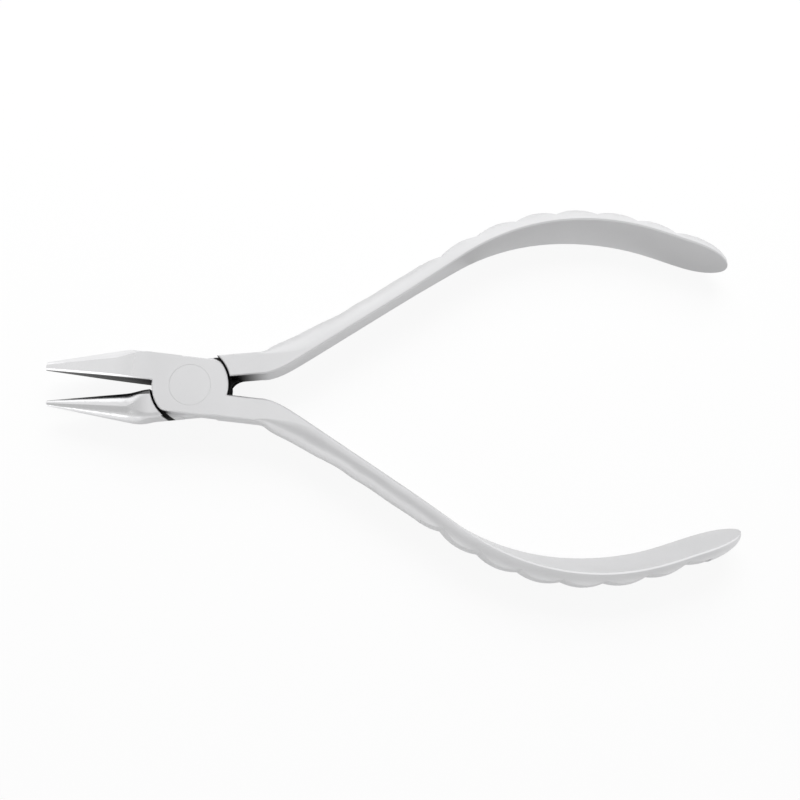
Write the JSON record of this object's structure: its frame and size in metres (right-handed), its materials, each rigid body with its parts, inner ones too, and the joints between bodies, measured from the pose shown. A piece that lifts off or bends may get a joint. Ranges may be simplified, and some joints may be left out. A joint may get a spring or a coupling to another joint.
{
  "type": "orthodontic pliers",
  "caption": "Slim steel hand pliers with a lap joint, a flush rivet, a square beak facing a round beak, and swept handles with scalloped finger grips.",
  "frame": {"origin": "middle of the rivet's rear head, flush with the rear lap plate, on the pivot axis", "axes": "+Z along the pivot axis towards the front plate, +X towards the handles, +Y towards the handle of the rear half"},
  "size_m": [0.1326, 0.074, 0.0084],
  "materials": {
    "front_steel": "satin, with a polished beak",
    "rear_steel": "satin, with a polished beak",
    "rivet_steel": "ground flush, satin"
  },
  "bodies": {
    "rear": {"rear_half": "rear_steel", "pivot_rivet": "rivet_steel"},
    "front": {"front_half": "front_steel"}
  },
  "joints": [
    {"name": "pivot_hinge", "type": "hinge", "parent": "rear", "child": "front", "pos_m": [0, 0, 0.0037], "axis": [0, 0, 1], "range_deg": [-25, 11.7]}
  ]
}
